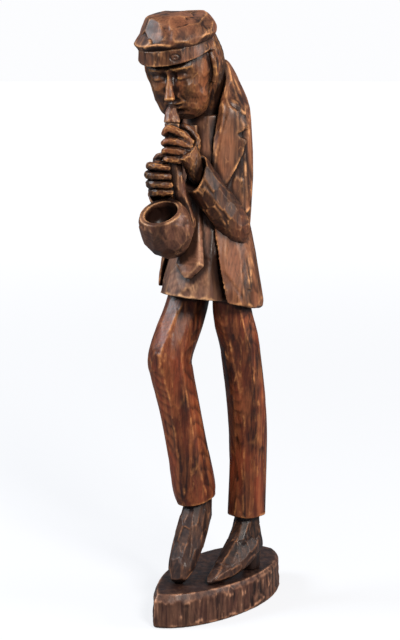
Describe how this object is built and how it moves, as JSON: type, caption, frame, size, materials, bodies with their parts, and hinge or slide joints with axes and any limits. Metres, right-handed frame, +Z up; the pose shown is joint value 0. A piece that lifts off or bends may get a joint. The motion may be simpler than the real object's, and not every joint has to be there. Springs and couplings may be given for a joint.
{
  "type": "carved wooden figurine",
  "caption": "Tall slim carved wooden musician in a flat cap and open jacket, playing a saxophone on a leaf-shaped plinth.",
  "frame": {"origin": "on the plinth's underside, in the middle of its footprint", "axes": "+Z up the figure; the figure faces -Y; +X to the figure's own left"},
  "size_m": [0.1686, 0.3454, 0.9832],
  "materials": {
    "skin_wood": "dark walnut stain rubbed back on the ridges, satin varnish, tool marks left",
    "cloth_wood": "dark walnut stain rubbed back on the ridges, satin varnish, tool marks left",
    "trouser_wood": "dark walnut stain rubbed back on the ridges, satin varnish, tool marks left",
    "shoe_wood": "dark walnut stain rubbed back on the ridges, satin varnish, tool marks left",
    "horn_wood": "dark walnut stain rubbed back on the ridges, satin varnish, tool marks left",
    "plinth_wood": "dark walnut stain rubbed back on the ridges, satin varnish, tool marks left",
    "dowel_wood": "bare birch dowel"
  },
  "bodies": {
    "root": {"plinth": "plinth_wood", "left_shoe": "shoe_wood", "right_shoe": "shoe_wood", "left_trouser_leg": "trouser_wood", "right_trouser_leg": "trouser_wood", "jacket": "cloth_wood", "shirt": "cloth_wood", "necktie": "cloth_wood", "left_sleeve": "cloth_wood", "right_sleeve": "cloth_wood", "cap_crown": "cloth_wood", "cap_peak": "cloth_wood", "head": "skin_wood", "left_hand": "skin_wood", "right_hand": "skin_wood", "sax_body": "horn_wood", "sax_bell": "horn_wood", "sax_mouthpiece": "horn_wood", "left_toe_dowel": "dowel_wood", "right_toe_dowel": "dowel_wood", "left_ankle_dowel": "dowel_wood", "right_ankle_dowel": "dowel_wood", "left_hip_dowel": "dowel_wood", "right_hip_dowel": "dowel_wood", "neck_dowel": "dowel_wood", "left_elbow_dowel": "dowel_wood", "right_elbow_dowel": "dowel_wood", "left_wrist_dowel": "dowel_wood", "right_wrist_dowel": "dowel_wood", "mouthpiece_dowel": "dowel_wood", "bell_dowel": "dowel_wood", "cap_dowel": "dowel_wood"}
  },
  "joints": []
}
